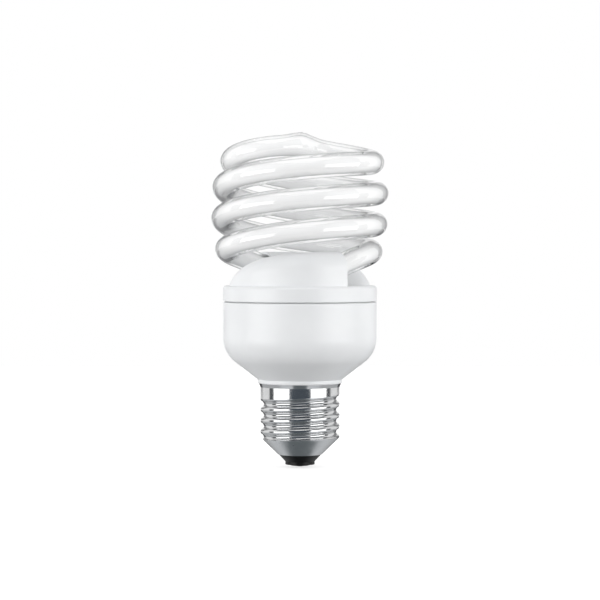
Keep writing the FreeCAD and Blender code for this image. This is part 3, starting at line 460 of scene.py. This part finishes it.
def draw_crown_tip(mesh, radius):
    crown = strand(0.0)
    for vert in mesh.verts:
        away = Vector((vert.co.x - crown.x, vert.co.y - crown.y)).length
        if abs(vert.co.z - crown.z) < 2 * TUBE_RADIUS and away < CROWN_TIP_REACH:
            upward = max(0.0, (vert.co.z - crown.z) / radius)
            vert.co.z += CROWN_TIP_RISE * smooth(upward) * smooth(1 - away / CROWN_TIP_REACH)


def bend_tube(name, radius, finish):
    mesh = bmesh.new()
    way = path_way(TUBE_MARKS[0])
    upright = Vector((0, 0, 1)).rotation_difference(way).to_matrix().to_4x4()
    bmesh.ops.create_circle(
        mesh, cap_ends=True, segments=RING_SEGMENTS, radius=radius,
        matrix=Matrix.Translation(strand(TUBE_MARKS[0])) @ upright)
    ring = list(mesh.edges)
    for before, after in zip(TUBE_MARKS, TUBE_MARKS[1:]):
        grown = bmesh.ops.extrude_edge_only(mesh, edges=ring)["geom"]
        verts = [item for item in grown if isinstance(item, bmesh.types.BMVert)]
        edges = [item for item in grown if isinstance(item, bmesh.types.BMEdge)]
        fresh = set(verts)
        ring = [edge for edge in edges if set(edge.verts) <= fresh]
        turn = path_way(before).rotation_difference(path_way(after)).to_matrix().to_4x4()
        move = Matrix.Translation(strand(after)) @ turn @ Matrix.Translation(-strand(before))
        bmesh.ops.transform(mesh, matrix=move, verts=verts)
    bmesh.ops.contextual_create(mesh, geom=ring)
    sort_faces(mesh)
    bmesh.ops.recalc_face_normals(mesh, faces=mesh.faces)
    draw_crown_tip(mesh, radius)
    for face in mesh.faces:
        face.smooth = len(face.verts) == 4
    data = bpy.data.meshes.new(name)
    mesh.to_mesh(data)
    mesh.free()
    piece = bpy.data.objects.new(name, data)
    bpy.context.scene.collection.objects.link(piece)
    data.materials.append(finish)
    return piece


print("a tube has", len(TUBE_MARKS), "rings")

# %% [markdown]
# ## The white coating
# The tube's inside is dusted with white phosphor. It is matt and lets some light through, so
# one strand lights the next. Painting the tube white would hide its clear wall, so a core just
# under the wall stands for the coating. It scatters some light below its surface. Its base colour
# is painted grey where it is seen edge on, a painted shade for its dimmer edges.

# %% White coating
# Paints the base colour grey where a surface is seen edge on: painted shade for dimmer edges.
def paint_edge_shade(finish, begin, tone):
    nodes, links = finish.node_tree.nodes, finish.node_tree.links
    facing = nodes.new("ShaderNodeLayerWeight")
    facing.inputs["Blend"].default_value = 0.5
    painted_rim_shade = nodes.new("ShaderNodeMapRange")
    painted_rim_shade.interpolation_type = "SMOOTHSTEP"
    painted_rim_shade.inputs["From Min"].default_value = begin
    edge = nodes.new("ShaderNodeMix")
    edge.data_type = "RGBA"
    edge.inputs["B"].default_value = (*tone, 1.0)
    links.new(facing.outputs["Facing"], painted_rim_shade.inputs["Value"])
    links.new(painted_rim_shade.outputs["Result"], edge.inputs["Factor"])
    links.new(nodes["Group"].outputs["Color"], edge.inputs["A"])
    links.new(edge.outputs["Result"], nodes["Principled BSDF"].inputs["Base Color"])


GLASS_WALL = 0.0010
phosphor = mottled(
    "phosphor", dark=(0.855, 0.858, 0.86), light=(0.885, 0.887, 0.887),
    grain=60.0, low=0.6, high=0.75, Specular_IOR_Level=0.1, Subsurface_Weight=1.0,
    Subsurface_Radius=(1.0, 1.0, 1.0), Subsurface_Scale=0.003)
# The coating's edges get painted shade: its base colour turns grey where it is seen edge on.
paint_edge_shade(phosphor, begin=0.35, tone=(0.40, 0.405, 0.41))
coating = bend_tube("phosphor_coating", TUBE_RADIUS - GLASS_WALL, phosphor)
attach(coating, "root")
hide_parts("glass_tube")
print(coating.name, len(coating.data.polygons), "faces")

# %% [markdown]
# ## The clear wall
# The glass wall is thin and its two faces run side by side, so it hardly bends the view, but it
# shines at its edge. Glass with its true index would act as a full rod here and swell the
# core. Its own index is therefore low, and a clear coat does the shining. Its base colour is
# painted dark grey where it is seen edge on, a painted shade for the dark line at the glass's
# edge. Light and shadow pass straight through it, so that the coating is lit as it should be.

# %% Clear wall
def let_light_through(finish):
    nodes, links = finish.node_tree.nodes, finish.node_tree.links
    path = nodes.new("ShaderNodeLightPath")
    lit = nodes.new("ShaderNodeMath")
    lit.operation = "MAXIMUM"
    shown = nodes.new("ShaderNodeMath")
    shown.operation = "SUBTRACT"
    shown.inputs[0].default_value = 1.0
    links.new(path.outputs["Is Shadow Ray"], lit.inputs[0])
    links.new(path.outputs["Is Diffuse Ray"], lit.inputs[1])
    links.new(lit.outputs["Value"], shown.inputs[1])
    links.new(shown.outputs["Value"], nodes["Principled BSDF"].inputs["Alpha"])


clear_glass = mottled(
    "clear glass", dark=grey(0.97), light=grey(1.0), grain=60.0, low=0.0, high=0.02, IOR=1.02,
    Transmission_Weight=1.0, Coat_Weight=1.0, Coat_Roughness=0.07, Coat_IOR=1.8)
# The wall's edges get a painted dark line: its base colour turns dark grey where seen edge on.
paint_edge_shade(clear_glass, begin=0.60, tone=(0.30, 0.31, 0.32))
let_light_through(clear_glass)
wall = bend_tube("glass_wall", TUBE_RADIUS, clear_glass)
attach(wall, "root")
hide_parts("glass_tube")
print(wall.name, len(wall.data.polygons), "faces")

# %% [markdown]
# ## Floor
# The lamp stands on a pale table in a white studio. A floor lit until it is white would flood the
# lamp with light, so it stays grey and glows to the camera only, and keeps the lamp's shadow.

# %% Studio floor
FLOOR_HALF_WIDTH = 0.6
FLOOR_GAP = 0.0002
FLOOR_TONE = (0.5, 0.5, 0.5, 1)
FLOOR_GLOW = 0.72


def make_floor():
    mesh = bmesh.new()
    bmesh.ops.create_grid(mesh, x_segments=1, y_segments=1, size=FLOOR_HALF_WIDTH)
    data = bpy.data.meshes.new("studio_floor")
    mesh.to_mesh(data)
    mesh.free()
    floor = bpy.data.objects.new("studio_floor", data)
    floor.location = (0, 0, solid_box[0][2] - FLOOR_GAP)
    bpy.context.scene.collection.objects.link(floor)
    finish = bpy.data.materials.new("studio floor")
    finish.use_nodes = True
    nodes, links = finish.node_tree.nodes, finish.node_tree.links
    shader = nodes["Principled BSDF"]
    shader.inputs["Base Color"].default_value = FLOOR_TONE
    shader.inputs["Roughness"].default_value = 0.9
    shader.inputs["Specular IOR Level"].default_value = 0.1
    shader.inputs["Emission Color"].default_value = (1, 1, 1, 1)
    path = nodes.new("ShaderNodeLightPath")
    glow = nodes.new("ShaderNodeMath")
    glow.operation = "MULTIPLY"
    glow.inputs[1].default_value = FLOOR_GLOW
    links.new(path.outputs["Is Camera Ray"], glow.inputs[0])
    links.new(glow.outputs["Value"], shader.inputs["Emission Strength"])
    data.materials.append(finish)
    floor.visible_glossy = False
    return floor


floor = make_floor()
print(floor.name, "at", round(floor.location.z, 4))

# %% [markdown]
# ## World
# The studio's walls are white to the camera, in reflections and through glass. As a fill light
# they are softer, because a full white from all sides would leave the lamp without shape.

# %% Studio world
WORLD_FILL = 0.58


def make_world(fill):
    world = bpy.data.worlds.new("studio world")
    bpy.context.scene.world = world
    world.use_nodes = True
    nodes, links = world.node_tree.nodes, world.node_tree.links
    back = nodes["Background"]
    back.inputs["Color"].default_value = (1, 1, 1, 1)
    path = nodes.new("ShaderNodeLightPath")
    seen = nodes.new("ShaderNodeMath")
    seen.operation = "MAXIMUM"
    shown = nodes.new("ShaderNodeMath")
    shown.operation = "MAXIMUM"
    strength = nodes.new("ShaderNodeMix")
    links.new(path.outputs["Is Camera Ray"], seen.inputs[0])
    links.new(path.outputs["Is Glossy Ray"], seen.inputs[1])
    links.new(seen.outputs["Value"], shown.inputs[0])
    links.new(path.outputs["Is Transmission Ray"], shown.inputs[1])
    links.new(shown.outputs["Value"], strength.inputs["Factor"])
    strength.inputs["A"].default_value = fill
    strength.inputs["B"].default_value = 1.0
    links.new(strength.outputs["Result"], back.inputs["Strength"])
    return world


world = make_world(WORLD_FILL)
print(world.name)

# %% [markdown]
# ## Soft boxes
# A wide, low soft box stands at the front left and another at the front right, so that polished
# metal shows two bright bands with a darker one between them. One strong lamp could do the
# lighting too, but its mirror image would burn out the thread. So these boxes and the one overhead
# are weak, and others that aren't mirrored light the plastic and the coating from the front, the
# sides and the rear.

# %% Soft boxes
MIDDLE = (0, 0, 0.06)
SIDES = (("left", -1), ("right", 1))


def soft_box(name, place, width, height, power, mirrored):
    lamp = bpy.data.lights.new(name, "AREA")
    lamp.shape = "RECTANGLE"
    lamp.size = width
    lamp.size_y = height
    lamp.energy = power
    box = bpy.data.objects.new(name, lamp)
    box.location = place
    box.rotation_euler = (Vector(MIDDLE) - Vector(place)).to_track_quat("-Z", "Y").to_euler()
    box.visible_glossy = mirrored
    bpy.context.scene.collection.objects.link(box)


# Each row has a name, the place at the right, the width, the height, the power and whether the
# box shows in mirrors. The left box is the right one's mirror image.
for name, (x, y, z), width, height, power, mirrored in (
    ("soft box", (0.67, -0.44, 0.03), 0.72, 0.34, 1.3, True),
    ("front box", (0.67, -0.44, 0.05), 0.72, 0.5, 3.0, False),
    ("side box", (0.85, -0.08, 0.10), 0.50, 0.9, 2.4, False),
    ("rear box", (0.55, 0.65, 0.15), 0.50, 0.9, 1.1, False),
):
    for side, sign in SIDES:
        soft_box(f"{side} {name}", (sign * x, y, z), width, height, power, mirrored)
soft_box("top soft box", (0, -0.10, 0.80), 0.7, 0.7, 1.0, True)

# %% [markdown]
# ## Dark cards
# Polished metal and glass in an all-white room have no edges. A photographer hangs dark cards
# around the lamp for that: one behind the camera, a narrow one at each side, and some above and
# behind. Grey ones below stand for the table that the cap's cone mirrors. All of them are seen only
# in reflections and through the glass, and cast no shadow.

# %% Dark cards
def dark_card(name, place, width, height, tone):
    mesh = bmesh.new()
    bmesh.ops.create_grid(mesh, x_segments=1, y_segments=1, size=0.5)
    bmesh.ops.scale(mesh, vec=(width, height, 1), verts=mesh.verts)
    data = bpy.data.meshes.new(name)
    mesh.to_mesh(data)
    mesh.free()
    card = bpy.data.objects.new(name, data)
    card.location = place
    card.rotation_euler = (Vector(MIDDLE) - Vector(place)).to_track_quat("Z", "Y").to_euler()
    card.visible_camera = False
    card.visible_diffuse = False
    card.visible_shadow = False
    finish = bpy.data.materials.new(name)
    finish.use_nodes = True
    shader = finish.node_tree.nodes["Principled BSDF"]
    shader.inputs["Base Color"].default_value = (0, 0, 0, 1)
    shader.inputs["Specular IOR Level"].default_value = 0.0
    shader.inputs["Emission Color"].default_value = (*tone, 1)
    shader.inputs["Emission Strength"].default_value = 1.0
    data.materials.append(finish)
    bpy.context.scene.collection.objects.link(card)


# Each row has a name, the place (at the right, for a pair), the width, the height and the tone.
for name, (x, y, z), width, height, tone in (
    ("card", (0.80, 0.0, 0.06), 0.25, 0.5, (0.10, 0.105, 0.11)),
    ("upper card", (0.62, -0.42, 0.60), 0.9, 0.7, (0.22, 0.23, 0.24)),
    ("rear card", (0.50, 0.80, 0.25), 0.45, 0.6, (0.30, 0.30, 0.305)),
    ("low card", (0.50, -0.35, -0.28), 0.8, 0.36, (0.14, 0.145, 0.15)),
):
    for side, sign in SIDES:
        dark_card(f"{side} {name}", (sign * x, y, z), width, height, tone)
for name, place, width, height, tone in (
    ("front card", (0, -0.95, 0.06), 1.15, 1.6, (0.085, 0.10, 0.12)),
    ("upper rear card", (0, 0.75, 0.75), 1.6, 0.7, (0.45, 0.45, 0.455)),
    ("low rear card", (0, 0.9, -0.32), 1.6, 0.5, (0.06, 0.06, 0.065)),
    ("low card", (0, 0.001, -0.30), 0.7, 0.7, (0.72, 0.74, 0.76)),
    ("low outer card", (0, 0.001, -0.32), 3.0, 3.0, (0.52, 0.53, 0.54)),
    ("low dark card", (0, 0.001, -0.15), 0.14, 0.46, (0.15, 0.17, 0.18)),
):
    dark_card(name, place, width, height, tone)

# %% [markdown]
# ## Camera
# The picture was taken from the front, a little above the middle of the lamp. A near camera would
# show the cap from above and the crown from below, so it stands back and has a long lens.

# %% Camera
CAMERA_PLACE = (0.0, -0.700, 0.0715)
CAMERA_TARGET = (0.0, 0.0, 0.0550)
CAMERA_LENS = 127.3


def make_camera():
    lens = bpy.data.cameras.new("front camera")
    lens.lens = CAMERA_LENS
    lens.sensor_width = 36.0
    camera = bpy.data.objects.new("front camera", lens)
    camera.location = CAMERA_PLACE
    aim = Vector(CAMERA_TARGET) - camera.location
    camera.rotation_euler = aim.to_track_quat("-Z", "Y").to_euler()
    bpy.context.scene.collection.objects.link(camera)
    bpy.context.scene.camera = camera
    return camera


camera = make_camera()
bpy.context.scene.view_settings.view_transform = "Standard"
print("camera at", tuple(camera.location))

bpy.context.view_layer.update()
